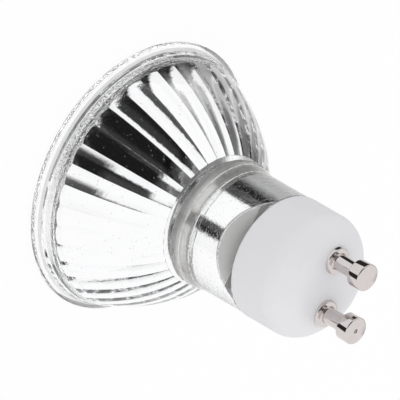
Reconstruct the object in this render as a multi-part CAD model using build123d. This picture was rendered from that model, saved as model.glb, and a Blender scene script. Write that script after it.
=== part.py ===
from build123d import *
import os
from math import cos, radians, sin, sqrt

# Reflector halogen lamp with a two-pin cap, in millimetres. +Z runs up the lamp's axis to the
# pins, the origin is the centre of the front glass it stands on, and the pins lie along X.

# Front glass
lens_radius = 25.0
lens_thickness = 1.9
lens_edge_round = 0.8
spigot_height = 0.5
spigot_clearance = 0.25

# Adhesive ring between the front glass and the reflector's rim
bond_thickness = 0.15
bond_inset = 0.2
bond_bead = 0.35

# Reflector bowl: its outer side passes through the rim, belly and throat radii
rim_radius = 23.85
rim_height = 0.7
belly_radius = 19.65
throat_step = 0.15
bowl_depth = 19.05
bowl_wall = 1.5
bowl_stations = 5

# Mouth of the bowl and the flutes on its mirrored inner side
mouth_wall = 1.6
mouth_draft = 0.2
mouth_depth = 1.25
mouth_step = 0.25
land_slope = 0.15
flute_count = 36
flute_depth = 0.18
flute_margin_rim = 1.35
flute_margin_throat = 1.95
throat_slope = 0.95

# Neck, with the ring below it and two sloping flats at its end
ring_step = 0.45
ring_height = 2.1
ring_taper_height = 2.0
neck_radius = 11.35
neck_length = 10.35
neck_wall = 1.0
flat_length = 2.6
flat_margin = 1.45
flat_wall = 1.2
well_ledge = 0.8
reflector_turn = -18.0

# Plug at the neck's end, which is cemented into the base
plug_half_width = 8.4
plug_corner_radius = 9.9
plug_length = 4.0
plug_bore_radius = 6.4

# Ceramic base
base_radius = 11.5
base_height = 13.05
base_face_radius = 7.8
base_slope_height = 3.85
base_round = 3.5
base_mouth_round = 0.8
base_end_wall = 3.6
socket_clearance = 0.25
cement_layer = 1.0

# Contact pins
pin_spacing = 10.0
pin_reach = 7.6
pin_head_radius = 2.5
pin_head_length = 2.5
pin_head_bevel = 0.2
pin_shank_radius = 1.5
pin_flange_radius = 2.55
pin_flange_height = 0.6
pin_flange_draft = 0.15
pin_tail_radius = 1.55
pin_lip_radius = 2.1
pin_lip_height = 0.5
pin_tail_length = 0.4
pin_lip_clearance = 0.4
pin_dimple_radius = 0.42
pin_dimple_depth = 0.35

# Capsule: bulb, exhaust tip and pinch seal
capsule_seat = 1.65
tip_radius = 0.8
tip_length = 1.2
bulb_radius = 5.0
bulb_wall = 0.9
bulb_length = 17.5
pinch_blend = 3.5
pinch_width = 9.0
pinch_thickness = 3.0
pinch_round = 1.0
pinch_length = 7.4
pinch_recess_width = 6.2
pinch_recess_depth = 0.35
pinch_recess_margin = 1.0

# Wires and foils
lead_radius = 0.3
lead_spacing = 4.4
lead_bend_radius = 0.8
lead_overlap = 1.2
lead_clearance = 0.05
lead_rise = 0.4
lead_end_gap = 0.3
foil_width = 2.0
foil_thickness = 0.1
foil_length = 4.6
foil_margin = 1.4
fuse_radius = 0.15
filament_radius = 0.5
filament_leg = 9.0
filament_drop = 3.0
support_radius = 0.2
support_clearance = 0.05
support_anchor = 2.0

# Heights along the axis, worked out from the sizes above
rim_bottom = lens_thickness + bond_thickness
rim_top = rim_bottom + rim_height
throat_z = rim_top + bowl_depth
ring_top = throat_z + ring_height
neck_bottom = ring_top + ring_taper_height
neck_top = neck_bottom + neck_length
flat_top = neck_top - flat_margin
flat_bottom = flat_top - flat_length
plug_top = neck_top + plug_length
cement_top = plug_top + cement_layer
base_top = neck_top + base_height
base_shoulder = base_top - base_slope_height
chamber_top = base_top - base_end_wall
pin_top = base_top + pin_reach
pin_bottom = chamber_top - pin_lip_height - pin_tail_length
step_bottom = rim_bottom + mouth_depth
land_bottom = step_bottom + mouth_step
flute_bottom = rim_top + flute_margin_rim
flute_top = throat_z - flute_margin_throat

pinch_top = plug_top - capsule_seat
pinch_bottom = pinch_top - pinch_length
bulb_top = pinch_bottom - pinch_blend
dome_bottom = bulb_top - bulb_length
capsule_front = dome_bottom - tip_length
foil_bottom = pinch_bottom + foil_margin
foil_top = foil_bottom + foil_length
filament_top = bulb_top - filament_drop
filament_bend = filament_top - filament_leg

mouth_radius = rim_radius - mouth_wall
throat_radius = neck_radius + throat_step
ring_radius = neck_radius + ring_step
neck_bore_radius = neck_radius - neck_wall
socket_radius = plug_corner_radius + socket_clearance
lead_x = lead_spacing / 2
pin_x = pin_spacing / 2
foil_y = -lead_radius - foil_thickness / 2
chamber_radius = pin_x + pin_lip_radius + pin_lip_clearance


def bowl_shape(height):
    """Outer radius and slope of the bowl at a height above the rim, along one conic."""
    t = (height - rim_top) / bowl_depth
    rim_sq = rim_radius**2
    belly_sq = belly_radius**2
    throat_sq = throat_radius**2
    radius_sq = rim_sq * (1 - t) * (1 - 2 * t) + 4 * belly_sq * t * (1 - t) + throat_sq * t * (2 * t - 1)
    change = rim_sq * (4 * t - 3) + belly_sq * (4 - 8 * t) + throat_sq * (4 * t - 1)
    radius = sqrt(radius_sq)
    return radius, change / (2 * radius * bowl_depth)


def crease_radius(height):
    """Radius of the creases between the flutes, one wall inside the outer side."""
    radius, slope = bowl_shape(height)
    return radius - bowl_wall * sqrt(1 + slope**2)


def crown_radius(height):
    """Innermost radius of the flutes, which get shallower as the bowl narrows."""
    crease = crease_radius(height)
    return crease - flute_depth * crease / crease_radius(flute_bottom)


def stations(bottom, top):
    """Evenly spaced heights at which the bowl's curve is fixed."""
    step = (top - bottom) / (bowl_stations - 1)
    return [bottom + index * step for index in range(bowl_stations)]


def turned(points):
    """Solid of revolution about Z from an outline of (radius, height) points."""
    outline = Polyline([(r, 0, z) for r, z in points], close=True)
    return revolve(make_face(outline), Axis.Z)


def rod(path, radius):
    """Round wire along a path."""
    return sweep((path ^ 0) * Circle(radius), path=path)


def lifted(solid, height):
    """Solid that starts at the XY plane, moved up to a height."""
    return Pos(0, 0, height) * solid


def post(radius, bottom, top):
    """Upright cylinder on the axis between two heights."""
    return lifted(extrude(Circle(radius), top - bottom), bottom)


def square(half_width, height):
    """Square outline about the axis at a height."""
    return lifted(Rectangle(2 * half_width, 2 * half_width), height)


def slab(half_width, height):
    """Outline about the axis at a height, as wide as the neck in X and narrower in Y."""
    return lifted(Rectangle(2 * neck_radius, 2 * half_width), height)


def front_lens():
    disc = post(lens_radius, 0, lens_thickness)
    disc = fillet(disc.edges().filter_by(GeomType.CIRCLE), lens_edge_round)
    return disc + post(mouth_radius - spigot_clearance, lens_thickness, lens_thickness + spigot_height)


def lens_adhesive():
    return turned([
        (mouth_radius + bond_inset, lens_thickness),
        (rim_radius + bond_bead, lens_thickness),
        (rim_radius, rim_bottom + bond_bead),
        (rim_radius, rim_bottom),
        (mouth_radius + bond_inset, rim_bottom),
    ])


def flute_section(height):
    """Ring of arcs that bulge inwards between sharp creases."""
    crease = crease_radius(height)
    crown = crown_radius(height)
    pitch = radians(360 / flute_count)
    arcs = []
    for index in range(flute_count):
        start = index * pitch
        knots = [(start, crease), (start + pitch / 2, crown), (start + pitch, crease)]
        arcs.append(ThreePointArc([(r * cos(a), r * sin(a), height) for a, r in knots]))
    return make_face(arcs)


def reflector_hollow():
    """Mouth, fluted bowl, throat, neck bore, well behind the flats and plug bore as one tool."""
    crown = crown_radius(flute_bottom)
    land_radius = crown + land_slope * (flute_bottom - land_bottom)
    land_end = crown - land_slope * (flute_top - flute_bottom)
    throat_start = crown_radius(flute_top)
    throat_end_z = flute_top + (throat_start - neck_bore_radius) / throat_slope
    well_slope = (neck_radius - plug_half_width) / flat_length
    well_offset = flat_wall * sqrt(1 + well_slope**2)
    well_half_width = plug_bore_radius + well_ledge
    well_bottom = flat_bottom + (neck_wall - well_offset) / well_slope
    well_top = well_bottom + (neck_bore_radius - well_half_width) / well_slope
    mouth = turned([
        (0, rim_bottom),
        (mouth_radius, rim_bottom),
        (mouth_radius - mouth_draft, step_bottom),
        (land_radius, land_bottom),
        (0, land_bottom),
    ])
    flutes = loft([flute_section(height) for height in stations(land_bottom, flute_top)])
    flutes &= turned([
        (0, land_bottom),
        (land_radius, land_bottom),
        (land_end, flute_top),
        (0, flute_top),
    ])
    bore = turned([
        (0, flute_top),
        (throat_start, flute_top),
        (neck_bore_radius, throat_end_z),
        (neck_bore_radius, well_top),
        (0, well_top),
    ])
    wedge_bottom = well_bottom - (neck_radius - neck_bore_radius) / well_slope
    wedge = Polyline(
        (0, neck_radius, wedge_bottom),
        (0, neck_radius, well_top),
        (0, well_half_width, well_top),
        close=True,
    )
    wedge = extrude(make_face(wedge), neck_radius, dir=(1, 0, 0), both=True)
    bore -= wedge + mirror(wedge, Plane.XZ)
    return mouth + flutes + bore + post(plug_bore_radius, well_top, plug_top)


def reflector():
    bowl_points = [(bowl_shape(z)[0], 0, z) for z in stations(rim_top, throat_z)]
    bowl_ends = [(bowl_shape(z)[1], 0, 1) for z in (rim_top, throat_z)]
    side = Spline(bowl_points, tangents=bowl_ends)
    foot = Polyline((rim_radius, 0, rim_top), (rim_radius, 0, rim_bottom), (0, 0, rim_bottom))
    stem = Polyline(
        (throat_radius, 0, throat_z),
        (ring_radius, 0, throat_z),
        (ring_radius, 0, ring_top),
        (neck_radius, 0, neck_bottom),
        (neck_radius, 0, flat_bottom),
        (0, 0, flat_bottom),
    )
    spine = Line((0, 0, flat_bottom), (0, 0, rim_bottom))
    body = revolve(make_face([foot, side, stem, spine]), Axis.Z)
    flat_foot = slab(plug_half_width, flat_top)
    neck_end = loft([slab(neck_radius, flat_bottom), flat_foot]) + extrude(flat_foot, flat_margin)
    neck_end &= post(neck_radius, flat_bottom, neck_top)
    plug = extrude(square(plug_half_width, neck_top), plug_length)
    plug &= post(plug_corner_radius, neck_top, plug_top)
    glass = body + neck_end + plug - reflector_hollow()
    return Rot(0, 0, reflector_turn) * glass


def pin_places():
    return [(index + 1, side) for index, side in enumerate((-1, 1))]


def ceramic_base():
    cup = turned([
        (0, neck_top),
        (base_radius, neck_top),
        (base_radius, base_shoulder),
        (base_face_radius, base_top),
        (0, base_top),
    ])
    rims = cup.edges().filter_by(GeomType.CIRCLE).sort_by(Axis.Z)
    cup = fillet(rims[1:], base_round)
    cup = fillet(cup.edges().filter_by(GeomType.CIRCLE).sort_by(Axis.Z)[0], base_mouth_round)
    cup -= post(socket_radius, neck_top, cement_top)
    cup -= post(chamber_radius, cement_top, chamber_top)
    for _, side in pin_places():
        hole = post(pin_tail_radius, chamber_top, base_top)
        cup -= Pos(side * pin_x, 0, 0) * hole
    return cup


def contact_pin(side, dimpled):
    flange_top = base_top + pin_flange_height
    head_bottom = pin_top - pin_head_length
    bore_radius = lead_radius + lead_clearance
    pin = turned([
        (bore_radius, pin_bottom),
        (pin_tail_radius, pin_bottom),
        (pin_lip_radius, chamber_top - pin_lip_height),
        (pin_lip_radius, chamber_top),
        (pin_tail_radius, chamber_top),
        (pin_tail_radius, base_top),
        (pin_flange_radius, base_top),
        (pin_flange_radius - pin_flange_draft, flange_top),
        (pin_shank_radius, flange_top),
        (pin_shank_radius, head_bottom),
        (pin_head_radius - pin_head_bevel, head_bottom),
        (pin_head_radius, head_bottom + pin_head_bevel),
        (pin_head_radius, pin_top - pin_head_bevel),
        (pin_head_radius - pin_head_bevel, pin_top),
        (0, pin_top),
        (0, base_top),
        (bore_radius, base_top),
    ])
    if dimpled:
        pin -= lifted(Cone(0, pin_dimple_radius, pin_dimple_depth), pin_top - pin_dimple_depth / 2)
    return Pos(side * pin_x, 0, 0) * pin


def pinch_section(height):
    return lifted(RectangleRounded(pinch_width, pinch_thickness, pinch_round), height)


def pinch_block():
    return extrude(pinch_section(pinch_bottom), pinch_length)


def round_ended(radius, bottom, top):
    """Upright cylinder whose lower end is a hemisphere."""
    corner = bottom + radius
    halfway = (radius * sin(radians(45)), 0, corner - radius * cos(radians(45)))
    dome = ThreePointArc((0, 0, bottom), halfway, (radius, 0, corner))
    side = Polyline((radius, 0, corner), (radius, 0, top), (0, 0, top), (0, 0, bottom))
    return revolve(make_face([dome, side]), Axis.Z)


def capsule_envelope(inserts):
    """Quartz bulb, open only where the wires and foils of the seal fill it."""
    bulb = round_ended(bulb_radius, dome_bottom, bulb_top)
    gas = round_ended(bulb_radius - bulb_wall, dome_bottom + bulb_wall, bulb_top)
    tip = round_ended(tip_radius, capsule_front, dome_bottom + bulb_wall / 2)
    blend = loft([lifted(Circle(bulb_radius), bulb_top), pinch_section(pinch_bottom)])
    envelope = bulb + tip + blend + pinch_block() - gas
    recess = Box(pinch_recess_width, pinch_recess_depth, pinch_length - 2 * pinch_recess_margin)
    for face in (-1, 1):
        recess_y = face * (pinch_thickness - pinch_recess_depth) / 2
        envelope -= Pos(0, recess_y, pinch_bottom + pinch_length / 2) * recess
    return envelope - inserts


def filament():
    """U of coiled wire, shown by the coil's outer size."""
    left = Line((-lead_x, 0, filament_top), (-lead_x, 0, filament_bend))
    lowest = (0, 0, filament_bend - lead_x)
    bend = ThreePointArc((-lead_x, 0, filament_bend), lowest, (lead_x, 0, filament_bend))
    right = Line((lead_x, 0, filament_bend), (lead_x, 0, filament_top))
    return rod(Wire([left, bend, right]), filament_radius)


def filament_support():
    """Wire out of the seal that ends in a hook round the filament's bend."""
    hook = filament_radius + support_clearance + support_radius
    slant = hook * sin(radians(45))
    bend_z = filament_bend - lead_x
    stem = Line((0, hook, pinch_bottom + support_anchor), (0, hook, bend_z))
    crook = ThreePointArc((0, hook, bend_z), (0, -slant, bend_z - slant), (0, 0, bend_z + hook))
    return rod(Wire([stem, crook]), support_radius)


def seal_foil(side):
    foil = Box(foil_width, foil_thickness, foil_length)
    return Pos(side * lead_x, foil_y, (foil_bottom + foil_top) / 2) * foil


def inner_lead(side):
    return Pos(side * lead_x, 0, 0) * post(lead_radius, filament_top, foil_bottom + lead_overlap)


def lead_route(side, bottom):
    """Path from a lead's place over the seal out to the bore of its pin."""
    turn = cement_top + lead_rise
    return FilletPolyline(
        (side * lead_x, 0, bottom),
        (side * lead_x, 0, turn),
        (side * pin_x, 0, pin_bottom - lead_rise),
        (side * pin_x, 0, base_top - lead_end_gap),
        radius=lead_bend_radius,
    )


def outer_lead_to_pin(side):
    return rod(lead_route(side, foil_top - lead_overlap), lead_radius)


def outer_lead_to_fuse(side):
    return Pos(side * lead_x, 0, 0) * post(lead_radius, foil_top - lead_overlap, cement_top)


def fuse_wire(side):
    return rod(lead_route(side, cement_top), fuse_radius)


def base_cement(inserts):
    fill = post(plug_bore_radius, neck_top, plug_top)
    layer = post(socket_radius, plug_top, cement_top)
    return fill + layer - inserts


def build():
    nodes = {
        "front_lens": front_lens(),
        "lens_adhesive": lens_adhesive(),
        "reflector": reflector(),
        "ceramic_base": ceramic_base(),
        "filament": filament(),
        "filament_support": filament_support(),
    }
    for number, side in pin_places():
        nodes[f"contact_pin_{number}"] = contact_pin(side, dimpled=side > 0)
        nodes[f"inner_lead_{number}"] = inner_lead(side)
        nodes[f"seal_foil_{number}"] = seal_foil(side)
    nodes["outer_lead_1"] = outer_lead_to_pin(-1)
    nodes["outer_lead_2"] = outer_lead_to_fuse(1)
    nodes["fuse_wire"] = fuse_wire(1)
    sealed = [name for name in nodes if "lead" in name or "foil" in name]
    inserts = [nodes[name] for name in sealed + ["filament_support"]]
    nodes["capsule_envelope"] = capsule_envelope(inserts)
    leads = [nodes[name] for name in sealed if "outer" in name]
    nodes["base_cement"] = base_cement(leads + [pinch_block()])
    return nodes


os.makedirs("parts", exist_ok=True)
for node_name, solid in build().items():
    export_step(solid, f"parts/{node_name}.step")
    print(node_name, round(solid.volume, 2))
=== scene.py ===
import math
import bmesh
import bpy
from mathutils import Matrix, Vector


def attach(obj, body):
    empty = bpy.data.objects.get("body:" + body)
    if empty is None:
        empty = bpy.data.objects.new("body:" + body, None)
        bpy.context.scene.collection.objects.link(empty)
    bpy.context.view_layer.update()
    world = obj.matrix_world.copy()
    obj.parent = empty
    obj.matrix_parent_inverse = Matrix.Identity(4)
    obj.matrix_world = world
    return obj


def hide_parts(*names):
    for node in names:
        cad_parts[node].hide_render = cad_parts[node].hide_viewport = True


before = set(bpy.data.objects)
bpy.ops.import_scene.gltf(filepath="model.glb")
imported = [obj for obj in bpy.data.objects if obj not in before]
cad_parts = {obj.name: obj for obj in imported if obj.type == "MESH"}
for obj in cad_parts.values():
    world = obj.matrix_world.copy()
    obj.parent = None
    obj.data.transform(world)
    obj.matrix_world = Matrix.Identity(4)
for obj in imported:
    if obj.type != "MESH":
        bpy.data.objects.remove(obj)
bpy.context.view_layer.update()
print("frame loaded with", len(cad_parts), "nodes")

mm = 0.001  # pieces are modelled in millimetres and scaled down when they are finished
fullTurn = math.radians(360)


# Shader sums

class Signal:  # an output socket that takes part in sums
    def __init__(self, bench, socket):
        self.bench = bench
        self.socket = socket

    def __add__(self, other):
        return self.bench.maths("ADD", self, other)

    def __radd__(self, other):
        return self.bench.maths("ADD", other, self)

    def __sub__(self, other):
        return self.bench.maths("SUBTRACT", self, other)

    def __rsub__(self, other):
        return self.bench.maths("SUBTRACT", other, self)

    def __mul__(self, other):
        return self.bench.maths("MULTIPLY", self, other)

    def __rmul__(self, other):
        return self.bench.maths("MULTIPLY", other, self)

    def __truediv__(self, other):
        return self.bench.maths("DIVIDE", self, other)

    def __rtruediv__(self, other):
        return self.bench.maths("DIVIDE", other, self)

    def __pow__(self, other):
        return self.bench.maths("POWER", self, other)

    def __rpow__(self, other):
        return self.bench.maths("POWER", other, self)


class Bench:  # builds the nodes of one material or of the world
    def __init__(self, tree):
        self.tree = tree
        self.tree.nodes.clear()

    def node(self, kind, settings, sockets, output=0):
        made = self.tree.nodes.new(kind)
        for key, value in settings.items():
            setattr(made, key, value)
        for key, value in sockets.items():
            if isinstance(value, Signal):
                self.tree.links.new(value.socket, made.inputs[key])
            else:
                made.inputs[key].default_value = value
        return Signal(self, made.outputs[output]) if len(made.outputs) else made

    def maths(self, operation, first, second=0.0):
        return self.node("ShaderNodeMath", {"operation": operation}, {0: first, 1: second})

    def fade(self, value, start, end):  # 0 below start, 1 above end, smooth between
        sockets = {"Value": value, "From Min": start, "From Max": end}
        return self.node("ShaderNodeMapRange", {"interpolation_type": "SMOOTHSTEP"}, sockets)

    def window(self, value, low, high, softLow, softHigh):  # 1 between low and high
        risen = self.fade(value, low - softLow, low + softLow)
        return risen * (1 - self.fade(value, high - softHigh, high + softHigh))

    def mixColour(self, factor, first, second):  # sockets 6 and 7 take colours, output 2 gives one
        return self.node("ShaderNodeMix", {"data_type": "RGBA"}, {0: factor, 6: first, 7: second}, 2)

    def place(self, scale=(1, 1, 1)):  # object coordinates, stretched
        coords = self.node("ShaderNodeTexCoord", {}, {}, "Object")
        return self.node("ShaderNodeVectorMath", {"operation": "MULTIPLY"}, {0: coords, 1: scale})

    def noise(self, vector, scale, detail=3.0, roughness=0.55):
        sockets = {"Vector": vector, "Scale": scale, "Detail": detail, "Roughness": roughness}
        return self.node("ShaderNodeTexNoise", {}, sockets)

    def dots(self, vector, scale, size):  # 1 in the middle of each cell, 0 from the larger size on
        cells = self.node("ShaderNodeTexVoronoi", {}, {"Vector": vector, "Scale": scale})
        return 1 - self.fade(cells, *size)

    def parts(self, vector):  # x, y and z of a vector
        split = self.node("ShaderNodeSeparateXYZ", {}, {"Vector": vector})
        outputs = split.socket.node.outputs
        return [Signal(self, outputs[axis]) for axis in range(3)]

    def bump(self, height, distance, normal=None):
        sockets = {"Height": height, "Distance": distance, "Strength": 1.0}
        if normal:
            sockets["Normal"] = normal
        return self.node("ShaderNodeBump", {}, sockets)

    def coat(self, sockets):
        return self.node("ShaderNodeBsdfPrincipled", {}, sockets)

    def blend(self, factor, first, second):
        return self.node("ShaderNodeMixShader", {}, {0: factor, 1: first, 2: second})

    def close(self, surface, kind="ShaderNodeOutputMaterial"):
        self.node(kind, {}, {"Surface": surface})


def newFinish(name):
    material = bpy.data.materials.new(name)
    material.use_nodes = True
    return material, Bench(material.node_tree)


# Finishes: places on the part are in millimetres, heights of bumps in metres

clearTints = ((0.985, 0.99, 0.99, 1), (1, 1, 1, 1))
# a grey line painted as shade round the rim, standing in for the dark reflection at the glass's edge
rimShadeEdge = {
    "radius": (24.3, 24.45),
    "low": 0.35,
    "high": 0.95,
    "soft": (0.1, 0.2),
    "roughness": 0.1,
    "cover": 0.7,
    "greys": ((0.4, 0.4, 0.4, 1), (0.5, 0.5, 0.5, 1)),
}


def clearGlassFinish(edge):  # the front glass, rougher at its rim, with a grey line painted round its edge as shade in place of the dark reflection there
    material, bench = newFinish("clearGlass")
    at = bench.place()
    waves = bench.noise(at, 220.0, 2.0)
    smears = bench.noise(at, 90.0, 4.0)
    x, y, z = bench.parts(at)
    rimZone = bench.fade((x * x + y * y) ** 0.5 / mm, *edge["radius"])
    # painted shade: where the grey rim line lies
    rimShadeMask = rimZone * bench.window(z / mm, edge["low"], edge["high"], *edge["soft"])
    clear = bench.coat({
        "Base Color": bench.mixColour(smears, *clearTints),
        "Roughness": 0.02 * smears + edge["roughness"] * rimZone,
        "IOR": 1.16,  # low, so that the white round it shows through the edge
        "Transmission Weight": 1.0,
        "Coat Weight": 0.4 + 0.2 * smears,
        "Coat Roughness": 0.02,
        "Normal": bench.bump(waves, 0.00001),
    })
    # painted shade: a grey frosted coat over the rim line
    paintedLightLayer = bench.coat({
        "Base Color": bench.mixColour(smears, *edge["greys"]),
        "Roughness": 0.4 + 0.2 * smears,
    })
    bench.close(bench.blend(edge["cover"] * rimShadeMask, clear, paintedLightLayer))
    return material


# white lines painted on as highlights along the neck's ridges and the flats' edges, and painted light on
# the flats themselves
paintedLightLines = {
    "heights": (21.8, 23.9, 25.9),
    "halfWidth": 0.09,
    "soft": 0.03,
    "outside": (11.24, 11.29),
    "breakup": (0.36, 0.5),
    "flatBottom": 32.2,
    "flatRadius": 11.35,
    "flatSlope": 1.135,
    "flatTurn": 72.0,
    "flatLightening": 0.4,
    "lighteningRise": 0.1,
    "whites": ((0.9, 0.9, 0.89, 1), (0.97, 0.97, 0.97, 1)),
}


def paintedLightMask(bench, at, lines):  # 1 where highlights are painted on the neck's ridges and the flats' edges, less where the flats are painted lighter
    x, y, z = (part / mm for part in bench.parts(at))
    outer = bench.fade((x * x + y * y) ** 0.5, *lines["outside"])
    turn = math.radians(lines["flatTurn"])
    across = bench.maths("ABSOLUTE", x * math.cos(turn) + y * math.sin(turn))
    beyond = across + lines["flatSlope"] * (z - lines["flatBottom"]) - lines["flatRadius"]
    wide, soft, flatBottom = lines["halfWidth"], lines["soft"], lines["flatBottom"]
    found = flat = bench.window(beyond, -wide, wide, soft, soft)
    for height in lines["heights"]:
        ridge = bench.window(z, height - wide, height + wide, soft, soft)
        found = bench.maths("MAXIMUM", found, ridge)
    # painted highlights, broken into patches by noise
    patchyHighlights = found * outer * bench.fade(bench.noise(at, 1700.0, 2.0), *lines["breakup"])
    rise = bench.fade(z, flatBottom, flatBottom + lines["lighteningRise"])
    # the flats are painted lighter by a thin white coat from their lower edge up
    return patchyHighlights + flat * (1 - outer) * rise * lines["flatLightening"]


def pressedGlassFinish(lines):
    material, bench = newFinish("pressedGlass")
    at = bench.place()
    waves = bench.noise(at, 160.0, 2.0)
    smears = bench.noise(at, 120.0, 4.0)
    clear = bench.coat({
        "Base Color": bench.mixColour(smears, *clearTints),
        "Roughness": 0.02 * smears,
        "IOR": 1.5,
        "Transmission Weight": 1.0,
        "Normal": bench.bump(waves, 0.00001),
    })
    # painted highlights and painted light: a white frosted coat where the mask is
    paintedLightLayer = bench.coat({
        "Base Color": bench.mixColour(smears, *lines["whites"]),
        "Roughness": 0.4 + 0.2 * smears,
    })
    bench.close(bench.blend(paintedLightMask(bench, at, lines), clear, paintedLightLayer))
    return material


mirrorMarks = {
    "neck": (22.5, 24.5),  # brushing and pits start here
    "specks": {"scale": 1900.0, "size": (0.07, 0.15), "patches": 1100.0, "spread": (0.54, 0.6)},
    "pits": {"scale": 2700.0, "size": (0.1, 0.2), "patches": 900.0, "spread": (0.52, 0.58)},
    "brushed": (700, 700, 2600),
    "teeth": (1600, 1600, 4200),
    "teethSpread": (0.5, 0.62),
    "fineHeight": 0.000009,
    "speckHeight": 0.00004,
    "silvers": ((0.97, 0.97, 0.98, 1), (0.99, 0.99, 0.995, 1)),
}


def patchyDots(bench, at, dots):
    patches = bench.fade(bench.noise(at, dots["patches"], 2.0), *dots["spread"])
    return bench.dots(at, dots["scale"], dots["size"]) * patches


def mirrorFilmFinish(marks):
    material, bench = newFinish("mirrorFilm")
    at = bench.place()
    height = bench.parts(at)[2] / mm
    necked = bench.fade(height, *marks["neck"])
    cloud = bench.noise(at, 260.0, 4.0)
    grain = bench.noise(at, 1200.0, 3.0, 0.6)
    brushed = bench.noise(bench.place(marks["brushed"]), 1.0, 3.0, 0.6)
    teeth = bench.fade(bench.noise(bench.place(marks["teeth"]), 1.0, 2.0), *marks["teethSpread"])
    specks, pits = (patchyDots(bench, at, marks[kind]) for kind in ("specks", "pits"))
    fine = bench.bump(grain + necked * (1.2 * brushed + 0.25 * teeth), marks["fineHeight"])
    bench.close(bench.coat({
        "Base Color": bench.mixColour(cloud, *marks["silvers"]),
        "Metallic": 1.0,
        "Roughness": 0.02 + 0.03 * cloud,
        "Normal": bench.bump(specks + 0.3 * necked * pits, marks["speckHeight"], fine),
    }))
    return material


sprayedEdge = {  # the dots grow darker and cover more towards one side: its direction, and where the change runs along that
    "turn": -168.0,
    "from": 2.0,
    "to": 18.0,
    "inward": (2.2, 3.5),
    "dotSize": (0.3, 0.5),
    "greys": ((0.95, 0.95, 0.95, 1), (0.2, 0.2, 0.21, 1)),
}


def stippledFilmFinish(edge):  # edge of the film, on the mouth's wall and on the land round the flutes
    material, bench = newFinish("stippledFilm")
    at = bench.place()
    x, y, z = (part / mm for part in bench.parts(at))
    inward = bench.fade(z, *edge["inward"])
    turn = math.radians(edge["turn"])
    # 0 to 1 towards one side, where the dots are darker and cover more
    thick = bench.fade(x * math.cos(turn) + y * math.sin(turn), edge["from"], edge["to"])
    fleck = bench.noise(at, 3400.0, 2.0)
    dots = bench.dots(at, 4300.0, edge["dotSize"])
    cover = dots * (0.35 + 0.25 * inward + 0.4 * thick) + fleck * (0.3 * inward + 0.6 * thick)
    film = bench.coat({
        "Base Color": bench.mixColour(dots * thick, *edge["greys"]),
        "Metallic": 1.0,
        "Roughness": 0.15 + 0.2 * fleck,
        "Normal": bench.bump(fleck, 0.00004),
    })
    clear = bench.coat({
        "Base Color": bench.mixColour(fleck, *clearTints),
        "Roughness": 0.05 * fleck,
        "IOR": 1.5,
        "Transmission Weight": 1.0,
    })
    bench.close(bench.blend(cover, clear, film))
    return material


thinFilm = {
    "throat": (23.4, 28),
    "soft": (0.15, 1),
    "flats": (29, 31),
    "stains": (0.55, 0.75),
    "colours": ((0.95, 0.95, 0.93, 1), (0.78, 0.72, 0.68, 1)),
}


def dullFilmFinish(film):  # thin, uneven film in the throat and behind the flats
    material, bench = newFinish("dullFilm")
    at = bench.place()
    height = bench.parts(at)[2] / mm
    sheen = bench.window(height, *film["throat"], *film["soft"])
    behindFlat = bench.fade(height, *film["flats"])
    stains = bench.fade(bench.noise(at, 420.0, 2.0), *film["stains"])
    grain = bench.noise(at, 1500.0, 4.0)
    bench.close(bench.coat({
        "Base Color": bench.mixColour(stains, *film["colours"]),
        "Metallic": 0.55 * (1 - behindFlat),
        "Roughness": 0.32 + 0.15 * grain - 0.22 * sheen,
        "Normal": bench.bump(grain, 0.00002),
    }))
    return material


wireGrain = {
    "stretch": (1, 1, 0.2),
    "grain": (4000.0, 3.0),
    "roughness": (0.25, 0.2),
    "bump": 0.00001,
    "sockets": {"Metallic": 1.0},
}
plainLooks = {
    "ceramic": {
        "name": "whiteCeramic",
        "cloud": (140.0, 4.0),
        "grain": (3200.0, 3.0),
        "colours": ((0.82, 0.82, 0.84, 1), (0.86, 0.86, 0.88, 1)),
        "roughness": (0.5, 0.2),
        "bump": 0.00002,
    },
    "nickel": {
        "name": "nickelPlate",
        "grain": (700.0, 4.0),
        "colours": ((0.62, 0.575, 0.56, 1), (0.71, 0.66, 0.645, 1)),
        "roughness": (0.04, 0.06),
        "bump": 0.000006,
        "sockets": {"Metallic": 1.0},
    },
    "cement": {
        "name": "setCement",
        "grain": (900.0, 5.0, 0.65),
        "colours": ((0.66, 0.65, 0.62, 1), (0.86, 0.85, 0.83, 1)),
        "roughness": (0.75, 0.2),
        "bump": 0.0001,
    },
    "quartz": {
        "name": "quartz",
        "grain": (300.0, 2.0),
        "colours": ((0.97, 0.98, 0.99, 1), (1, 1, 1, 1)),
        "roughness": (0, 0.03),
        "bump": 0.00002,
        "sockets": {"IOR": 1.46, "Transmission Weight": 1.0},
    },
    "adhesive": {
        "name": "clearAdhesive",
        "grain": (500.0, 3.0),
        "colours": ((0.80, 0.81, 0.81, 1), (0.92, 0.92, 0.92, 1)),
        "roughness": (0.25, 0.2),
        "bump": 0.00003,
    },
    "tungsten": {
        **wireGrain,
        "name": "tungsten",
        "colours": ((0.30, 0.30, 0.31, 1), (0.55, 0.55, 0.56, 1)),
    },
    "molybdenum": {
        **wireGrain,
        "name": "molybdenum",
        "colours": ((0.42, 0.41, 0.39, 1), (0.66, 0.65, 0.62, 1)),
    },
}


def plainFinish(look):  # one noise for tone, gloss and bump, or a cloud of its own for the tone
    material, bench = newFinish(look["name"])
    at = bench.place(look.get("stretch", (1, 1, 1)))
    grain = bench.noise(at, *look["grain"])
    tone = bench.noise(at, *look["cloud"]) if "cloud" in look else grain
    least, spread = look["roughness"]
    bench.close(bench.coat({
        "Base Color": bench.mixColour(tone, *look["colours"]),
        "Roughness": least + spread * grain,
        "Normal": bench.bump(grain, look["bump"]),
        **look.get("sockets", {}),
    }))
    return material


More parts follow.
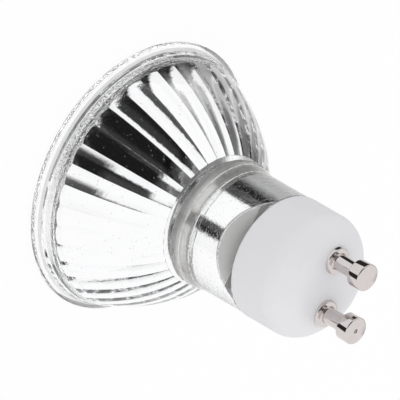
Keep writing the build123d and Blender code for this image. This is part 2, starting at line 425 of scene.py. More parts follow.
finishes = {
    "clearGlass": clearGlassFinish(rimShadeEdge),
    "pressedGlass": pressedGlassFinish(paintedLightLines),
    "mirrorFilm": mirrorFilmFinish(mirrorMarks),
    "stippledFilm": stippledFilmFinish(sprayedEdge),
    "dullFilm": dullFilmFinish(thinFilm),
    **{kind: plainFinish(look) for kind, look in plainLooks.items()},
}
print("finishes made:", len(finishes))


# Modelling steps shared by the pieces

def clearSelection():
    if bpy.context.object and bpy.context.object.mode != "OBJECT":
        bpy.ops.object.mode_set(mode="OBJECT")
    bpy.ops.object.select_all(action="DESELECT")


def pick(piece):
    clearSelection()
    bpy.context.view_layer.objects.active = piece
    piece.select_set(True)


def edit(piece):
    pick(piece)
    bpy.ops.object.mode_set(mode="EDIT")
    bpy.ops.mesh.select_mode(type="VERT")
    bpy.ops.mesh.select_all(action="SELECT")


def leave():
    bpy.ops.object.mode_set(mode="OBJECT")


def selectWhere(piece, test, kind="verts"):  # selects what passes the test, in edit mode
    mesh = bmesh.from_edit_mesh(piece.data)
    bpy.ops.mesh.select_all(action="DESELECT")
    bpy.ops.mesh.select_mode(type={"verts": "VERT", "edges": "EDGE", "faces": "FACE"}[kind])
    for element in getattr(mesh, kind):
        element.select_set(test(element))
    mesh.select_flush_mode()
    bmesh.update_edit_mesh(piece.data)


def closeUp():  # merges the seam and turns the faces outwards, in edit mode
    bpy.ops.mesh.select_all(action="SELECT")
    bpy.ops.mesh.remove_doubles(threshold=0.0005)
    bpy.ops.mesh.delete_loose()
    bpy.ops.mesh.select_all(action="SELECT")
    bpy.ops.mesh.normals_make_consistent(inside=False)


def steps(low, high, count):
    return [low + (high - low) * index / count for index in range(count + 1)]


def turnProfile(name, outline, around):  # spins an outline of (radius, height) points round the axis
    clearSelection()
    bpy.ops.mesh.primitive_plane_add(size=1, location=(0, 0, 0))
    piece = bpy.context.object
    piece.name = name
    edit(piece)
    bpy.ops.mesh.merge(type="CENTER")
    bpy.ops.transform.translate(value=(outline[0][0], 0, outline[0][1]))
    for (r0, z0), (r1, z1) in zip(outline, outline[1:]):
        bpy.ops.mesh.extrude_vertices_move(TRANSFORM_OT_translate={"value": (r1 - r0, 0, z1 - z0)})
    bpy.ops.mesh.select_all(action="SELECT")
    bpy.ops.mesh.spin(steps=around, angle=fullTurn, center=(0, 0, 0), axis=(0, 0, 1))
    closeUp()
    leave()
    return piece


def onRing(vert, radius, height):
    near = 0.002
    return abs(math.hypot(vert.co.x, vert.co.y) - radius) < near and abs(vert.co.z - height) < near


def roundRing(piece, radius, height, offset, segments):  # bevels one turned edge
    edit(piece)
    selectWhere(piece, lambda edge: all(onRing(v, radius, height) for v in edge.verts), "edges")
    bpy.ops.mesh.bevel(offset=offset, segments=segments, affect="EDGES")
    leave()


def cutAway(piece, point, normal):  # removes what lies beyond a plane and caps the cut
    edit(piece)
    facing = normal.normalized()  # the operator holds each component of it to 1
    bpy.ops.mesh.bisect(plane_co=point, plane_no=facing, use_fill=True, clear_outer=True, threshold=0.0001)
    leave()


def combine(piece, tool, operation):
    pick(piece)
    step = piece.modifiers.new("combine", "BOOLEAN")
    step.object = tool
    step.operation = operation
    step.solver = "EXACT"
    bpy.ops.object.modifier_apply(modifier="combine")
    bpy.data.objects.remove(tool, do_unlink=True)


def copyOf(piece, name):
    twin = piece.copy()
    twin.data = piece.data.copy()
    twin.name = name
    bpy.context.scene.collection.objects.link(twin)
    return twin


def shift(piece, move):
    edit(piece)
    bpy.ops.transform.translate(value=move)
    leave()


def finishPair(piece, twin, place, finish, node, smooth):  # sets two like pieces beside the axis
    for number, side, half in ((1, -1, piece), (2, 1, twin)):
        shift(half, (side * place[0], place[1], 0))
        paint(half, finish)
        finishPiece(half, f"{node}_{number}", smooth)


def paint(piece, *names):
    piece.data.materials.clear()
    for name in names:
        piece.data.materials.append(finishes[name])


def finishPiece(piece, node, smooth):  # smooth is the largest angle that is shaded round
    pick(piece)
    piece.scale = (mm, mm, mm)
    bpy.ops.object.transform_apply(location=True, rotation=True, scale=True)
    bpy.ops.object.shade_smooth_by_angle(angle=math.radians(smooth))
    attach(piece, "root")
    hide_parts(node)
    mesh = bmesh.new()
    mesh.from_mesh(piece.data)
    loose = sum(1 for edge in mesh.edges if not edge.is_manifold)
    mesh.free()
    print(piece.name, "finished:", len(piece.data.polygons), "faces,", loose, "open edges")


# Front glass

frontGlass = {
    "radius": 24.99,
    "thickness": 1.9,
    "frontEdge": (2.6, 1.3),
    "backRound": 0.55,
    "spigotRadius": 22.0,
    "spigotHeight": 0.5,
    "spigotRound": 0.12,
}


def makeFrontGlass(size):
    top = size["thickness"]
    spigotTop = top + size["spigotHeight"]
    wide, high = size["frontEdge"]
    quarter = steps(0, math.radians(90), count=16)
    glass = turnProfile("frontGlass", [
        (0, 0),
        *[(size["radius"] - wide * (1 - math.sin(a)), high * (1 - math.cos(a))) for a in quarter],
        (size["radius"], top),
        (size["spigotRadius"], top),
        (size["spigotRadius"], spigotTop),
        (0, spigotTop),
    ], around=720)
    roundRing(glass, size["radius"], top, size["backRound"], segments=12)
    roundRing(glass, size["spigotRadius"], spigotTop, size["spigotRound"], segments=4)
    paint(glass, "clearGlass")
    finishPiece(glass, "front_lens", smooth=35)


makeFrontGlass(frontGlass)

bondRing = {  # just clear of both glasses
    "inner": 22.45,
    "outer": 23.85,
    "bead": 0.33,
    "bottom": 1.92,
    "top": 2.03,
}


def makeBondRing(size):
    ring = turnProfile("bondRing", [
        (size["inner"], size["bottom"]),
        (size["outer"] + size["bead"], size["bottom"]),
        (size["outer"], size["top"] + size["bead"]),
        (size["outer"], size["top"]),
        (size["inner"], size["top"]),
        (size["inner"], size["bottom"]),
    ], around=192)
    paint(ring, "adhesive")
    finishPiece(ring, "lens_adhesive", smooth=35)


makeBondRing(bondRing)


# Reflector: pressed glass with a mirror film on its inner side

reflectorBowl = {
    "rimRadius": 23.85,
    "bellyRadius": 19.65,
    "throatRadius": 11.5,
    "rimBottom": 2.05,
    "rimTop": 2.75,
    "depth": 19.05,
    "wall": 1.5,
    "rows": 44,
    "turn": -18.0,
}
flutes = {
    "count": 36,
    "perFlute": 10,
    "depth": 0.18,
    "bottom": 4.1,
    "top": 19.85,
    "landBottom": 3.55,
    "landSlope": -0.1,
}
throat = {"slope": 1.5, "dullTop": 25.0}
mouth = {
    "radius": 22.25,
    "filmFrom": 2.15,
    "filmRadius": 22.234,
    "stepBottom": 3.3,
    "stepRadius": 22.05,
}
neck = {
    "ringRadius": 11.8,
    "ringTop": 23.9,
    "radius": 11.35,
    "bottom": 25.9,
    "top": 36.23,
    "bore": 10.35,
    "flatBottom": 32.2,
    "flatTop": 34.8,
    "wellBottom": 31.482,
    "wellTop": 34.258,
    "wellHalfWidth": 7.2,
    "boreTop": 35.8,
    "edgeRound": 0.12,
}
plug = {"halfWidth": 8.4, "cornerRadius": 9.9, "bore": 6.4, "top": 40.25}
lap = 0.02  # cutting tools that meet overlap by this


def bowlShape(bowl, z):  # outer radius and slope at a height
    t = (z - bowl["rimTop"]) / bowl["depth"]
    rim, belly, waist = (bowl[key] ** 2 for key in ("rimRadius", "bellyRadius", "throatRadius"))
    radius = math.sqrt(rim * (1 - t) * (1 - 2 * t) + 4 * belly * t * (1 - t) + waist * t * (2 * t - 1))
    change = rim * (4 * t - 3) + belly * (4 - 8 * t) + waist * (4 * t - 1)
    return radius, change / (2 * radius * bowl["depth"])


def creaseRadius(bowl, z):  # the creases between the flutes run one wall inside
    radius, slope = bowlShape(bowl, z)
    return radius - bowl["wall"] * math.sqrt(1 + slope ** 2)


def makeFluteTool(bowl, flute):
    margin = 1  # the tool runs this far past the rim
    rings = steps(flute["landBottom"], flute["top"], bowl["rows"])
    crease = creaseRadius(bowl, rings[0])
    crown = crease * (1 - flute["depth"] / creaseRadius(bowl, flute["bottom"]))
    halfPitch = math.radians(180 / flute["count"])
    halfWidth = crease * math.sin(halfPitch)
    sag = crease * math.cos(halfPitch) - crown
    arc = (halfWidth ** 2 + sag ** 2) / (2 * sag)
    centre = crown + arc
    clearSelection()
    bpy.ops.mesh.primitive_circle_add(
        vertices=flute["count"] * flute["perFlute"],
        radius=crease,
        fill_type="NGON",
        location=(0, 0, rings[0]),
    )
    tool = bpy.context.object
    bpy.ops.object.transform_apply(location=True)
    edit(tool)
    pitch = 2 * halfPitch
    turn = math.radians(bowl["turn"])
    near = 0.1 * pitch / flute["perFlute"]  # a tenth of the space between columns
    for phase in range(1, flute["perFlute"]):  # each column of vertices moves in to its place on the arc
        angle = phase * pitch / flute["perFlute"] - halfPitch
        reach = centre * math.cos(angle) - math.sqrt(arc ** 2 - (centre * math.sin(angle)) ** 2)

        def onColumn(vert):
            across = (math.atan2(vert.co.y, vert.co.x) - turn) % pitch
            return abs(across - halfPitch - angle) < near

        selectWhere(tool, onColumn)
        ratio = reach / crease
        bpy.ops.transform.resize(value=(ratio, ratio, 1), center_override=(0, 0, rings[0]))
    bpy.ops.mesh.select_all(action="SELECT")
    for low, high in zip(rings, rings[1:]):
        ratio = creaseRadius(bowl, high) / creaseRadius(bowl, low)
        bpy.ops.mesh.extrude_region_move(TRANSFORM_OT_translate={"value": (0, 0, high - low)})
        bpy.ops.transform.resize(value=(ratio, ratio, 1), center_override=(0, 0, high))
    foot = rings[0] - lap
    wide = (bowl["rimRadius"] + 2 * margin) / crease
    drop = bowl["rimBottom"] - margin - foot

    def isUnderside(face):
        return len(face.verts) > 4 and face.calc_center_median().z < rings[0] + lap

    selectWhere(tool, isUnderside, "faces")
    bpy.ops.mesh.extrude_region_move(TRANSFORM_OT_translate={"value": (0, 0, foot - rings[0])})
    bpy.ops.transform.resize(value=(wide, wide, 1), center_override=(0, 0, foot))
    bpy.ops.mesh.extrude_region_move(TRANSFORM_OT_translate={"value": (0, 0, drop)})
    closeUp()
    leave()
    return tool


def makeFlatTool(stem, plugSize, angle, sloped):  # cuts a side of the plug, and the flat below it
    margin = 1  # the block runs this far past the glass
    low = stem["flatBottom"] - margin if sloped else stem["top"]
    high = plugSize["top"] + margin
    near, far = plugSize["halfWidth"], stem["radius"] + 2 * margin
    clearSelection()
    bpy.ops.mesh.primitive_cube_add(
        size=1,
        location=((near + far) / 2, 0, (low + high) / 2),
        scale=(far - near, 2 * far, high - low),
    )
    tool = bpy.context.object
    bpy.ops.object.transform_apply(location=True, scale=True)
    if sloped:
        rise = stem["flatTop"] - stem["flatBottom"]
        fall = stem["radius"] - plugSize["halfWidth"]
        cutAway(tool, Vector((stem["radius"], 0, stem["flatBottom"])), Vector((-rise, 0, -fall)))
    tool.rotation_euler.z = angle
    pick(tool)
    bpy.ops.object.transform_apply(rotation=True)
    return tool


def makeReflector(bowl, flute, opening, band, stem, plugSize):
    over = 0.5  # the cutting tools run this far past the glass
    flatSides = (1, 3)  # the quarters of the neck that have a flat
    bowlRows = steps(bowl["rimTop"], bowl["rimTop"] + bowl["depth"], bowl["rows"])
    throatHeight = bowlRows[-1]
    shell = turnProfile("reflectorGlass", [
        (0, bowl["rimBottom"]),
        (bowl["rimRadius"], bowl["rimBottom"]),
        *[(bowlShape(bowl, z)[0], z) for z in bowlRows],
        (stem["ringRadius"], throatHeight),
        (stem["ringRadius"], stem["ringTop"]),
        (stem["radius"], stem["bottom"]),
        (stem["radius"], stem["top"]),
        (plugSize["cornerRadius"], stem["top"]),
        (plugSize["cornerRadius"], plugSize["top"]),
        (0, plugSize["top"]),
    ], around=240)
    for radius, z in (
        (stem["ringRadius"], throatHeight),
        (stem["ringRadius"], stem["ringTop"]),
        (stem["radius"], stem["bottom"]),
    ):
        roundRing(shell, radius, z, stem["edgeRound"], segments=3)
    for quarter in range(4):
        angle = math.radians(bowl["turn"] + 90 * quarter)
        combine(shell, makeFlatTool(stem, plugSize, angle, quarter in flatSides), "DIFFERENCE")
    crown = creaseRadius(bowl, flute["bottom"]) - flute["depth"]
    landRadius = crown + flute["landSlope"] * (flute["bottom"] - flute["landBottom"])
    opened = turnProfile("openingTool", [
        (0, bowl["rimBottom"] - over),
        (opening["radius"], bowl["rimBottom"] - over),
        (opening["radius"], bowl["rimBottom"]),
        (opening["filmRadius"], opening["filmFrom"]),
        (opening["stepRadius"], opening["stepBottom"]),
        (landRadius, flute["landBottom"]),
        (crown - flute["landSlope"] * (flute["top"] - flute["bottom"]), flute["top"]),
        (0, flute["top"]),
    ], around=360)
    cavity = makeFluteTool(bowl, flute)
    cavity.name = "cavityTool"
    coats = ("pressedGlass", "mirrorFilm", "dullFilm", "stippledFilm")
    bare, mirrored, dull, stippled = range(len(coats))
    paint(cavity, *coats)
    paint(opened, *coats)
    for face in cavity.data.polygons:
        face.material_index = mirrored
    for face in opened.data.polygons:
        face.material_index = stippled if face.center.z > opening["filmFrom"] else bare
    combine(cavity, opened, "INTERSECT")
    crownShare = 1 - flute["depth"] / creaseRadius(bowl, flute["bottom"])
    bandRadius = creaseRadius(bowl, flute["top"]) * crownShare
    boreFrom = flute["top"] + (bandRadius - stem["bore"]) / band["slope"]
    back = turnProfile("boreTool", [
        (0, flute["top"] - lap),
        (bandRadius, flute["top"] - lap),
        (stem["bore"], boreFrom),
        (stem["bore"], band["dullTop"]),
        (stem["bore"], stem["boreTop"]),
        (0, stem["boreTop"]),
    ], around=240)
    deep = stem["wellTop"] - stem["wellBottom"]
    narrow = stem["bore"] - stem["wellHalfWidth"]
    for quarter in flatSides:
        angle = math.radians(bowl["turn"] + 90 * quarter)
        out = Vector((math.cos(angle), math.sin(angle), 0))
        point = out * stem["bore"] + Vector((0, 0, stem["wellBottom"]))
        cutAway(back, point, out * deep + Vector((0, 0, narrow)))
    hole = turnProfile("plugBore", [
        (0, stem["wellTop"] - over),
        (plugSize["bore"], stem["wellTop"] - over),
        (plugSize["bore"], plugSize["top"] + over),
        (0, plugSize["top"] + over),
    ], around=110)
    combine(back, hole, "UNION")
    paint(shell, *coats)
    paint(back, *coats)
    steep = 0.3  # a face behind a flat leans more than this, the bore's wall doesn't
    for face in back.data.polygons:
        z = face.center.z
        inThroat = boreFrom < z < band["dullTop"]
        behindFlat = abs(face.normal.z) > steep and z > band["dullTop"]
        face.material_index = dull if inThroat or behindFlat or z > stem["boreTop"] else mirrored
    combine(cavity, back, "UNION")
    combine(shell, cavity, "DIFFERENCE")
    edit(shell)
    bpy.ops.mesh.dissolve_degenerate(threshold=0.001)
    closeUp()
    leave()
    finishPiece(shell, "reflector", smooth=12)


makeReflector(reflectorBowl, flutes, mouth, throat, neck, plug)


# Ceramic base

ceramicBase = {
    "radius": 11.5,
    "mouth": 36.25,
    "shoulder": 45.45,
    "top": 49.3,
    "faceRadius": 7.8,
    "round": 3.5,
    "mouthRound": 0.8,
    "socketRadius": 10.15,
    "socketTop": 41.25,
    "chamberRadius": 7.5,
    "chamberTop": 45.7,
    "pinHole": 1.55,
}
pinPlace = 5.0


def filletOffset(radius, turn):  # distance from a corner to where its round starts
    return radius * math.tan(turn / 2)


def makeCeramicBase(size):
    over = 1  # the drill runs this far past both ends of its hole
    base = turnProfile("ceramicBase", [
        (0, size["top"]),
        (size["faceRadius"], size["top"]),
        (size["radius"], size["shoulder"]),
        (size["radius"], size["mouth"]),
        (size["socketRadius"], size["mouth"]),
        (size["socketRadius"], size["socketTop"]),
        (size["chamberRadius"], size["socketTop"]),
        (size["chamberRadius"], size["chamberTop"]),
        (0, size["chamberTop"]),
    ], around=160)
    lean = math.atan2(size["radius"] - size["faceRadius"], size["top"] - size["shoulder"])
    faceOffset = filletOffset(size["round"], math.radians(90) - lean)
    roundRing(base, size["faceRadius"], size["top"], faceOffset, segments=12)
    roundRing(base, size["radius"], size["shoulder"], filletOffset(size["round"], lean), segments=12)
    roundRing(base, size["radius"], size["mouth"], size["mouthRound"], segments=8)
    for side in (-1, 1):
        drill = turnProfile("drill", [
            (0, size["chamberTop"] - over),
            (size["pinHole"], size["chamberTop"] - over),
            (size["pinHole"], size["top"] + over),
            (0, size["top"] + over),
        ], around=48)
        shift(drill, (side * pinPlace, 0, 0))
        combine(base, drill, "DIFFERENCE")
    paint(base, "ceramic")
    finishPiece(base, "ceramic_base", smooth=30)


makeCeramicBase(ceramicBase)


# Contact pins

contactPin = {
    "bore": 0.35,
    "boreTop": 49.3,
    "bottom": 44.8,
    "tailRadius": 1.55,
    "lipRadius": 2.1,
    "lipBottom": 45.2,
    "lipTop": 45.7,
    "flangeBottom": 49.3,
    "flangeTop": 49.9,
    "flangeRadius": 2.55,
    "flangeDraft": 0.15,
    "shankRadius": 1.5,
    "headBottom": 54.4,
    "headTop": 56.9,
    "headRadius": 2.5,
    "headBevel": 0.2,
    "neckRound": 0.12,
    "footRound": 0.25,
    "flangeRound": 0.12,
    "dimpleRadius": 0.42,
    "dimpleDepth": 0.35,
    "dimpleTaper": 0.4,
}


def makeContactPins(size):
    pin = turnProfile("contactPin1", [
        (size["bore"], size["bottom"]),
        (size["tailRadius"], size["bottom"]),
        (size["lipRadius"], size["lipBottom"]),
        (size["lipRadius"], size["lipTop"]),
        (size["tailRadius"], size["lipTop"]),
        (size["tailRadius"], size["flangeBottom"]),
        (size["flangeRadius"], size["flangeBottom"]),
        (size["flangeRadius"] - size["flangeDraft"], size["flangeTop"]),
        (size["shankRadius"], size["flangeTop"]),
        (size["shankRadius"], size["headBottom"]),
        (size["headRadius"], size["headBottom"]),
        (size["headRadius"], size["headTop"]),
        (0, size["headTop"]),
        (0, size["boreTop"]),
        (size["bore"], size["boreTop"]),
        (size["bore"], size["bottom"]),
    ], around=96)
    roundRing(pin, size["headRadius"], size["headTop"], size["headBevel"], segments=4)
    roundRing(pin, size["headRadius"], size["headBottom"], size["headBevel"], segments=4)
    roundRing(pin, size["shankRadius"], size["headBottom"], size["neckRound"], segments=4)
    roundRing(pin, size["shankRadius"], size["flangeTop"], size["footRound"], segments=5)
    flangeEnd = size["flangeRadius"] - size["flangeDraft"]
    roundRing(pin, flangeEnd, size["flangeTop"], size["flangeRound"], segments=4)
    twin = copyOf(pin, "contactPin2")
    punch = turnProfile("punch", [  # only the second pin's end has a dimple
        (0, size["headTop"] - size["dimpleDepth"]),
        (size["dimpleRadius"] * (1 - size["dimpleTaper"]), size["headTop"] - size["dimpleDepth"]),
        (size["dimpleRadius"] * (1 + size["dimpleTaper"]), size["headTop"] + size["dimpleDepth"]),
        (0, size["headTop"] + size["dimpleDepth"]),
    ], around=32)
    combine(twin, punch, "DIFFERENCE")
    finishPair(pin, twin, (pinPlace, 0), "nickel", "contact_pin", smooth=30)


makeContactPins(contactPin)


# Capsule: quartz bulb with its exhaust tip and pinch seal

capsule = {
    "tipRadius": 0.8,
    "tipBottom": 9.0,
    "tipRound": 0.3,
    "domeBottom": 10.2,
    "radius": 5.0,
    "wall": 0.9,
    "top": 27.7,
    "pinchWidth": 9.0,
    "pinchThickness": 3.0,
    "pinchRound": 1.0,
    "pinchBottom": 31.2,
    "pinchTop": 38.6,
    "recessWidth": 6.2,
    "recessDepth": 0.35,
    "recessMargin": 1.0,
    "recessRound": 0.14,
    "perCorner": 12,
}


def domePoints(radius, centre, start, count):  # from an angle off the axis to the dome's widest place
    angles = steps(start, math.radians(90), count)
    return [(radius * math.sin(a), centre - radius * math.cos(a)) for a in angles]


def makeBlock(name, width, thickness, bottom, top):
    clearSelection()
    bpy.ops.mesh.primitive_cube_add(
        size=1,
        location=(0, 0, (bottom + top) / 2),
        scale=(width, thickness, top - bottom),
    )
    block = bpy.context.object
    block.name = name
    bpy.ops.object.transform_apply(location=True, scale=True)
    return block


def upright(edge):
    near = 0.01
    return abs(edge.verts[0].co.z - edge.verts[1].co.z) > near


def makePinch(name, size, spare):  # block with rounded corners, wider and thicker by the spare
    wide, thick = size["pinchWidth"] + spare, size["pinchThickness"] + spare
    pinch = makeBlock(name, wide, thick, size["pinchBottom"], size["pinchTop"])
    edit(pinch)
    selectWhere(pinch, upright, "edges")
    bpy.ops.mesh.bevel(offset=size["pinchRound"], segments=size["perCorner"] - 1, affect="EDGES")
    leave()
    return pinch


def makeCapsule(size):
    centre = size["domeBottom"] + size["radius"]
    tipEnd = math.asin(size["tipRadius"] / size["radius"])
    glass = turnProfile("capsuleGlass", [
        *domePoints(size["tipRadius"], size["tipBottom"] + size["tipRadius"], 0, count=8),
        *domePoints(size["radius"], centre, tipEnd, count=20),
        (size["radius"], size["top"]),
    ], around=4 * size["perCorner"])
    tipRoot = centre - size["radius"] * math.cos(tipEnd)
    roundRing(glass, size["tipRadius"], tipRoot, size["tipRound"], segments=5)
    pinch = makePinch("pinch", size, 0)
    edit(pinch)
    selectWhere(pinch, lambda face: face.normal.z < -0.9, "faces")  # the block's underside
    bpy.ops.mesh.delete(type="ONLY_FACE")
    leave()
    pick(glass)
    pinch.select_set(True)
    bpy.ops.object.join()
    edit(glass)
    selectWhere(glass, lambda edge: edge.is_boundary, "edges")
    bpy.ops.mesh.bridge_edge_loops()
    closeUp()
    leave()
    low, high = size["pinchBottom"] + size["recessMargin"], size["pinchTop"] - size["recessMargin"]
    for face in (-1, 1):
        recess = makeBlock("recess", size["recessWidth"], 2 * size["recessDepth"], low, high)
        edit(recess)
        bpy.ops.mesh.bevel(offset=size["recessRound"], segments=4, affect="EDGES")
        leave()
        shift(recess, (0, face * size["pinchThickness"] / 2, 0))
        combine(glass, recess, "DIFFERENCE")
    gas = turnProfile("gas", [
        *domePoints(size["radius"] - size["wall"], centre, 0, count=20),
        (size["radius"] - size["wall"], size["top"]),
        (0, size["top"]),
    ], around=4 * size["perCorner"])
    roundRing(gas, size["radius"] - size["wall"], size["top"], size["wall"], segments=6)
    combine(glass, gas, "DIFFERENCE")
    paint(glass, "quartz")
    finishPiece(glass, "capsule_envelope", smooth=30)


makeCapsule(capsule)


# Filament: one coiled wire bent into a U

filament = {"legX": 2.2, "top": 24.7, "bend": 15.7, "radius": 0.5, "wire": 0.08, "pitch": 0.27}


def makePath(points):
    clearSelection()
    bpy.ops.mesh.primitive_plane_add(size=1, location=(0, 0, 0))
    path = bpy.context.object
    edit(path)
    bpy.ops.mesh.merge(type="CENTER")
    bpy.ops.transform.translate(value=points[0])
    for before, after in zip(points, points[1:]):
        bpy.ops.mesh.extrude_vertices_move(TRANSFORM_OT_translate={"value": after - before})
    leave()
    bpy.ops.object.convert(target="CURVE")
    return bpy.context.object


def makeFilament(size):
    legX, wire = size["legX"], size["wire"]
    turns = int((2 * (size["top"] - size["bend"]) + math.pi * legX) / size["pitch"])
    clearSelection()
    bpy.ops.mesh.primitive_circle_add(vertices=8, radius=wire, location=(wire, size["radius"] - wire, 0))
    coil = bpy.context.object
    coil.name = "filamentCoil"
    bpy.ops.object.transform_apply(location=True)
    wind = coil.modifiers.new("wind", "SCREW")
    wind.axis = "X"
    wind.angle = fullTurn
    wind.steps = wind.render_steps = 16
    wind.iterations = turns
    wind.screw_offset = size["pitch"]
    bpy.ops.object.modifier_apply(modifier="wind")
    edit(coil)
    bpy.ops.mesh.fill_holes(sides=0)
    closeUp()
    leave()
    bend = [(-legX * math.cos(a), size["bend"] - legX * math.sin(a)) for a in steps(0, math.pi, count=40)]
    path = makePath([Vector((x, 0, z)) for x, z in [(-legX, size["top"]), *bend, (legX, size["top"])]])
    pick(coil)
    follow = coil.modifiers.new("follow", "CURVE")
    follow.object = path
    follow.deform_axis = "POS_X"
    bpy.ops.object.modifier_apply(modifier="follow")
    bpy.data.objects.remove(path, do_unlink=True)
    paint(coil, "tungsten")
    finishPiece(coil, "filament", smooth=60)


makeFilament(filament)


# Support, leads and foils

support = {"radius": 0.2, "reach": 0.75, "top": 33.2, "hookHeight": 13.5, "hookTurn": -270}
innerLead = {"radius": 0.3, "bottom": 24.7, "top": 33.8, "endRound": 0.1}
sealFoil = {"width": 2.0, "thickness": 0.1, "bottom": 32.6, "top": 37.2, "y": -0.35, "feather": 0.049}


def makeSupport(size):
    clearSelection()
    bpy.ops.mesh.primitive_circle_add(
        vertices=16,
        radius=size["radius"],
        fill_type="NGON",
        location=(0, size["reach"], size["top"]),
    )
    wire = bpy.context.object
    wire.name = "filamentSupport"
    bpy.ops.object.transform_apply(location=True)
    edit(wire)
    drop = size["hookHeight"] - size["top"]
    bpy.ops.mesh.extrude_region_move(TRANSFORM_OT_translate={"value": (0, 0, drop)})
    hook = (0, 0, size["hookHeight"])
    bpy.ops.mesh.spin(steps=30, angle=math.radians(size["hookTurn"]), center=hook, axis=(1, 0, 0))
    closeUp()
    leave()
    paint(wire, "tungsten")
    finishPiece(wire, "filament_support", smooth=40)


def makeInnerLeads(size):
    lead = turnProfile("innerLead1", [
        (0, size["bottom"]),
        (size["radius"], size["bottom"]),
        (size["radius"], size["top"]),
        (0, size["top"]),
    ], around=24)
    roundRing(lead, size["radius"], size["bottom"], size["endRound"], segments=4)
    roundRing(lead, size["radius"], size["top"], size["endRound"], segments=4)
    place = (filament["legX"], 0)
    finishPair(lead, copyOf(lead, "innerLead2"), place, "tungsten", "inner_lead", smooth=40)


def makeSealFoils(size):
    foil = makeBlock("sealFoil1", size["width"], size["thickness"], size["bottom"], size["top"])
    edit(foil)
    selectWhere(foil, upright, "edges")
    bpy.ops.mesh.bevel(offset=size["feather"], segments=1, affect="EDGES")
    leave()
    place = (filament["legX"], size["y"])
    finishPair(foil, copyOf(foil, "sealFoil2"), place, "molybdenum", "seal_foil", smooth=20)


makeSupport(support)
makeInnerLeads(innerLead)
makeSealFoils(sealFoil)


# Cement round the pinch seal and over the plug

cement = {
    "radius": 6.4,
    "bottom": 36.25,
    "layerRadius": 10.15,
    "layerBottom": 40.25,
    "top": 41.25,
    "sealGap": 0.04,
    "lumpHeight": 0.8,
    "lumpSize": 0.8,
}


def makeCement(size, seal):
    filling = turnProfile("baseCement", [
        *[(r, size["bottom"]) for r in steps(0, size["radius"], count=14)],
        (size["radius"], size["layerBottom"]),
        (size["layerRadius"], size["layerBottom"]),
        (size["layerRadius"], size["top"]),
        (0, size["top"]),
    ], around=72)
    combine(filling, makePinch("pinchSpace", seal, size["sealGap"]), "DIFFERENCE")
    near = 0.01
    low, inner = size["bottom"] + near, size["radius"] - near
    under = [v.index for v in filling.data.vertices if v.co.z < low and v.co.xy.length < inner]
    filling.vertex_groups.new(name="underside").add(under, 1, "REPLACE")
    pick(filling)
    lumps = filling.modifiers.new("lumps", "DISPLACE")
    lumps.texture = bpy.data.textures.new("lumps", "CLOUDS")
    lumps.texture.noise_scale = size["lumpSize"]
    lumps.vertex_group = "underside"
    lumps.direction = "Z"
    lumps.strength = size["lumpHeight"]
    bpy.ops.object.modifier_apply(modifier="lumps")
    paint(filling, "cement")
    finishPiece(filling, "base_cement", smooth=40)


makeCement(cement, capsule)


# Wires hidden in the base keep their CAD shape

for name in ("outer_lead_1", "outer_lead_2", "fuse_wire"):
    paint(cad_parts[name], "molybdenum")


# Camera, fitted to the photograph

view = {
    "distance": 2700.0,
    "scale": 5.80,
    "tilt": 52.55,
    "lean": 30.1,
    "spin": 28.2,
    "rimHeight": 0.95,
    "rimPixel": (136.74, 174.27),
    "image": 400,
    "sensor": 36,
}


def makeCamera(size):
    tilt, lean, spin = (math.radians(size[key]) for key in ("tilt", "lean", "spin"))
    axis = Vector((math.sin(tilt) * math.cos(lean), math.sin(tilt) * math.sin(lean), -math.cos(tilt)))
    across = Vector((-math.sin(lean), math.cos(lean), 0))
    along = axis.cross(across)
    partX = math.cos(spin) * across + math.sin(spin) * along
    partY = axis.cross(partX)
    half = size["image"] / 2
    rim = Vector([(pixel - half) / size["scale"] for pixel in size["rimPixel"]] + [size["distance"]])
    place = Vector((-partX.dot(rim), -partY.dot(rim), -axis.dot(rim) + size["rimHeight"])) * mm
    right, down, ahead = (Vector((partX[i], partY[i], axis[i])) for i in range(3))
    turn = Matrix((right, -down, -ahead)).transposed().to_4x4()
    lens = bpy.data.cameras.new("photoCamera")
    lens.sensor_width = size["sensor"]
    lens.lens = size["scale"] * size["distance"] / size["image"] * size["sensor"]
    camera = bpy.data.objects.new("photoCamera", lens)
    camera.matrix_world = Matrix.Translation(place) @ turn
    bpy.context.scene.collection.objects.link(camera)
    bpy.context.scene.camera = camera
    return math.degrees(math.atan2(place.y, place.x))


cameraAzimuth = makeCamera(view)
print("camera stands at", round(cameraAzimuth, 1), "degrees")


# Studio: white surroundings with dark flags, and a white floor

# Each flag has its azimuth from the camera, a range of elevation or distance, and the softness of its edges
skyFlags = [  # dark cards round the object, by elevation
    {"from": -56, "to": 11, "soft": (1.5, 3), "low": -12, "high": 43, "fade": (4, 3), "shade": 0.96},
    {"from": -38, "to": 11, "soft": (6, 3), "low": -12, "high": 42, "fade": (4, 4), "shade": 0.72},
    {"from": 9, "to": 23, "soft": (3, 6), "low": -12, "high": 17, "fade": (4, 4), "shade": 0.95},
    {"from": -57, "to": -8, "soft": (1.5, 4), "low": 39, "high": 51, "fade": (3, 2), "shade": 0.95},
    {"from": -60, "to": -8, "soft": (3, 5), "low": 51, "high": 64, "fade": (2, 4), "shade": 0.86},
    {"from": -150, "to": 12, "soft": (5, 12), "low": 60, "high": 95, "fade": (5, 1), "shade": 0.83},
    {"from": -140, "to": -92, "soft": (8, 4), "low": 40, "high": 68, "fade": (5, 4), "shade": 0.78},
    {"from": -180, "to": -101, "soft": (0.1, 3), "low": -20, "high": 27, "fade": (4, 5), "shade": 0.5,
     "lean": -0.9},
    {"from": -150, "to": -112, "soft": (3, 4), "low": -6, "high": 15, "fade": (3, 4), "shade": 0.7,
     "lean": -0.4},
]
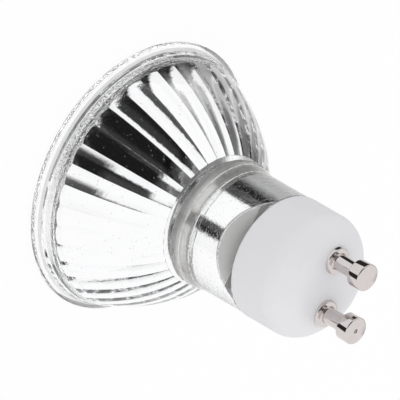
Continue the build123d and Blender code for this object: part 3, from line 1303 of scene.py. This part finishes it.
floorFlags = [  # dark cards on the floor that only glass and mirror film show, by distance
    {"from": -92, "to": -50, "soft": (14, 2), "low": 28, "high": 64, "fade": (2, 4), "shade": 0.98},
    {"from": -170, "to": -50, "soft": (20, 2), "low": 28, "high": 64, "fade": (2, 4), "shade": 0.5},
    {"from": 4.5, "to": 28, "soft": (2, 3), "low": 28, "high": 64, "fade": (2, 4), "shade": 0.98},
    {"from": -180, "to": -99, "soft": (0.1, 3), "low": 70, "high": 2500, "fade": (8, 50), "shade": 0.5},
    {"from": -150, "to": -114, "soft": (3, 4), "low": 130, "high": 2500, "fade": (40, 50), "shade": 0.65},
]
pinFlags = [  # dark cards on the floor that only plain metal shows, by distance
    {"from": -116, "to": -63, "soft": (14, 2), "low": 40, "high": 400, "fade": (5, 60), "shade": 0.97},
    {"from": 16, "to": 50, "soft": (2, 3), "low": 40, "high": 400, "fade": (5, 60), "shade": 0.97},
]
studio = {
    "evenLight": 0.75,  # how little the flags shade matte faces
    "floorSize": 6,  # metres, as the drop
    "floorDrop": 0.00002,
    "floorColour": (0.9, 0.9, 0.9, 1),
    "floorGlow": 0.96,
}


def flagLight(bench, flags, azimuth, reach):
    light = None
    for flag in flags:
        upright = azimuth - flag.get("lean", 0) * reach
        across = bench.window(upright, flag["from"], flag["to"], *flag["soft"])
        left = 1 - flag["shade"] * across * bench.window(reach, flag["low"], flag["high"], *flag["fade"])
        light = left if light is None else light * left
    return light


def azimuthOf(bench, x, y):  # degrees from the camera's side
    turn = math.radians(cameraAzimuth)
    ahead = x * math.cos(turn) + y * math.sin(turn)
    aside = y * math.cos(turn) - x * math.sin(turn)
    return bench.maths("ARCTAN2", aside, ahead) * math.degrees(1)


def rayKinds(bench, *kinds):
    outputs = bench.node("ShaderNodeLightPath", {}, {}).socket.node.outputs
    found = Signal(bench, outputs[kinds[0]])
    for kind in kinds[1:]:
        found = bench.maths("MAXIMUM", found, Signal(bench, outputs[kind]))
    return found


def makeWorld(flags):
    world = bpy.data.worlds.new("studio")
    world.use_nodes = True
    world.cycles.sampling_method = "NONE"
    bpy.context.scene.world = world
    bench = Bench(world.node_tree)
    x, y, z = bench.parts(bench.node("ShaderNodeTexCoord", {}, {}, "Generated"))
    elevation = bench.maths("ARCSINE", z) * math.degrees(1)
    light = flagLight(bench, flags, azimuthOf(bench, x, y), elevation)
    matte = studio["evenLight"] * rayKinds(bench, "Is Diffuse Ray")
    even = bench.maths("MAXIMUM", rayKinds(bench, "Is Camera Ray"), matte)
    sky = bench.node("ShaderNodeBackground", {}, {"Color": light + even * (1 - light)})
    bench.close(sky, "ShaderNodeOutputWorld")


makeWorld(skyFlags)


def makeFloor(flags, metalFlags):
    clearSelection()
    place = (0, 0, -studio["floorDrop"])
    bpy.ops.mesh.primitive_plane_add(size=studio["floorSize"], location=place)
    floor = bpy.context.object
    floor.name = "studioFloor"
    material, bench = newFinish("paleFloor")
    x, y = bench.parts(bench.place((1 / mm, 1 / mm, 1)))[:2]
    reach = (x * x + y * y) ** 0.5
    azimuth = azimuthOf(bench, x, y)
    through = rayKinds(bench, "Is Transmission Ray")
    onMetal = (1 - through) * flagLight(bench, metalFlags, azimuth, reach)
    light = through * flagLight(bench, flags, azimuth, reach) + onMetal
    camera = rayKinds(bench, "Is Camera Ray")
    mirrored = rayKinds(bench, "Is Glossy Ray", "Is Transmission Ray")
    matte = bench.node("ShaderNodeBsdfDiffuse", {}, {"Color": studio["floorColour"]})
    glow = bench.node("ShaderNodeEmission", {}, {"Color": camera + (1 - camera) * light})
    seen = bench.maths("MAXIMUM", camera * studio["floorGlow"], mirrored)
    bench.close(bench.blend(seen, matte, glow))
    floor.data.materials.append(material)


makeFloor(floorFlags, pinFlags)

paths = bpy.context.scene.cycles  # light needs many turns to find its way out of the front glass
paths.max_bounces = 40
paths.transmission_bounces = 40
paths.glossy_bounces = 12
bpy.context.scene.view_settings.view_transform = "Standard"
print("studio set")
